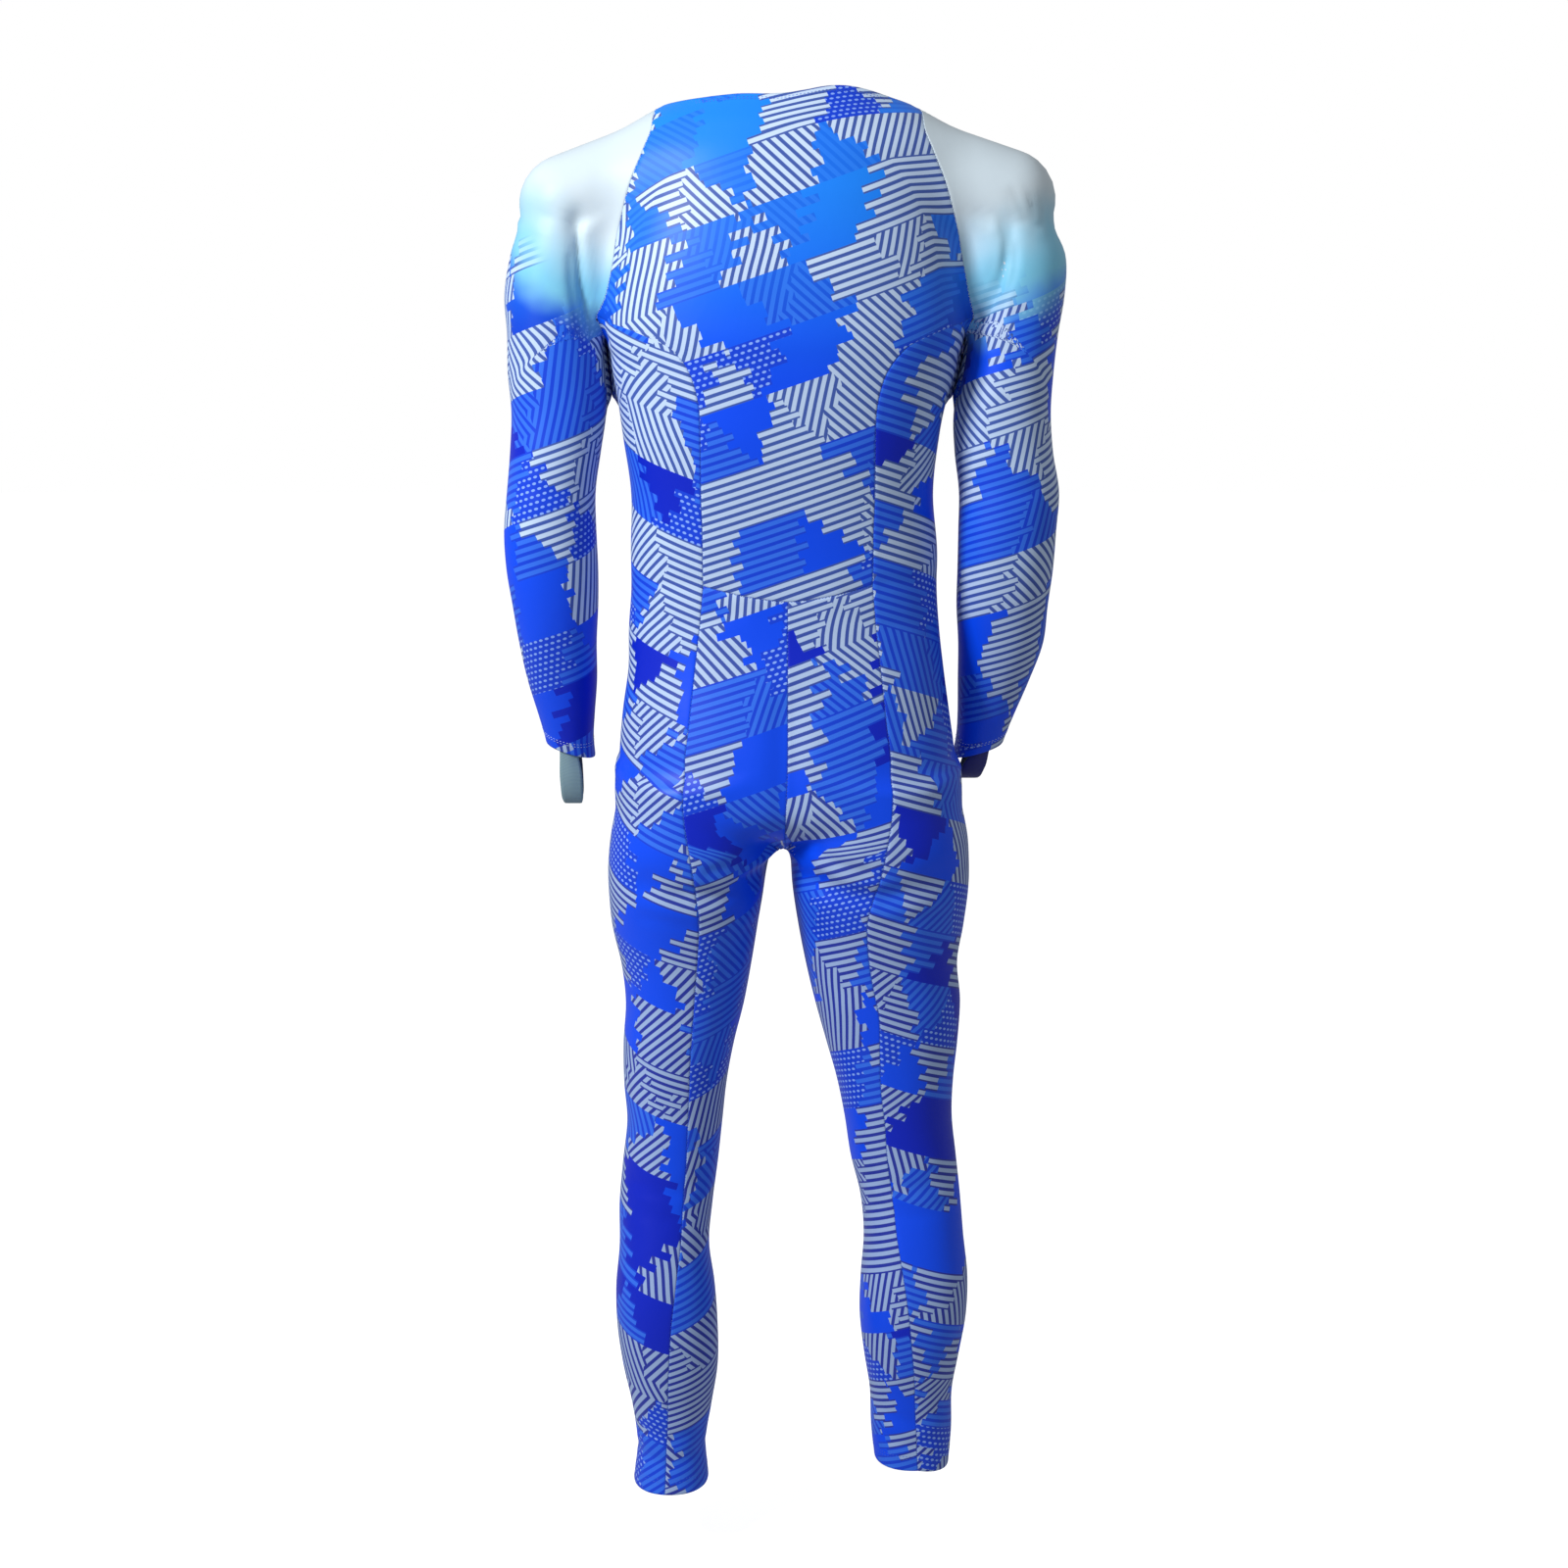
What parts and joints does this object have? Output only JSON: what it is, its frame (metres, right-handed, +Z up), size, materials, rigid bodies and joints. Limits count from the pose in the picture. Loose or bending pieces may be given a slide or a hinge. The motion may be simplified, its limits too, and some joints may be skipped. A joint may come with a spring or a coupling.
{
  "type": "ski race suit",
  "caption": "Close-fitting one-piece race suit with raglan sleeves, shaped back and side panels, thumb loops at the cuffs and a front zip drawn partly down.",
  "frame": {"origin": "between the shoulders, level with the base of the neck, where the wearer's shoulders hold the suit", "axes": "+Z up, +Y out of the back, +X to the wearer's left"},
  "size_m": [0.5815, 0.2572, 1.51],
  "materials": {
    "suit_cloth": "smooth stretch knit, printed in blues and white",
    "sleeve_cloth": "smooth stretch knit, near-white at the shoulder turning to printed blue",
    "loop_elastic": "woven elastic",
    "zip_tape": "woven tape",
    "zip_metal": "satin"
  },
  "bodies": {
    "suit": {"back_upper": "suit_cloth", "seat_leg_left": "suit_cloth", "seat_leg_right": "suit_cloth", "side_body_left": "suit_cloth", "side_body_right": "suit_cloth", "side_leg_left": "suit_cloth", "side_leg_right": "suit_cloth", "front_body_left": "suit_cloth", "front_body_right": "suit_cloth", "front_leg_left": "suit_cloth", "front_leg_right": "suit_cloth", "sleeve_back_left": "sleeve_cloth", "sleeve_back_right": "sleeve_cloth", "sleeve_front_left": "sleeve_cloth", "sleeve_front_right": "sleeve_cloth", "thumb_loop_left": "loop_elastic", "thumb_loop_right": "loop_elastic", "zip_tape_left": "zip_tape", "zip_tape_right": "zip_tape", "zip_slider": "zip_metal"},
    "pull": {"zip_pull": "zip_metal"}
  },
  "joints": [
    {"name": "pull_swing", "type": "hinge", "parent": "suit", "child": "pull", "pos_m": [0, -0.13503, -0.18088], "axis": [-1, 0, 0], "range_deg": [0, 120]}
  ]
}
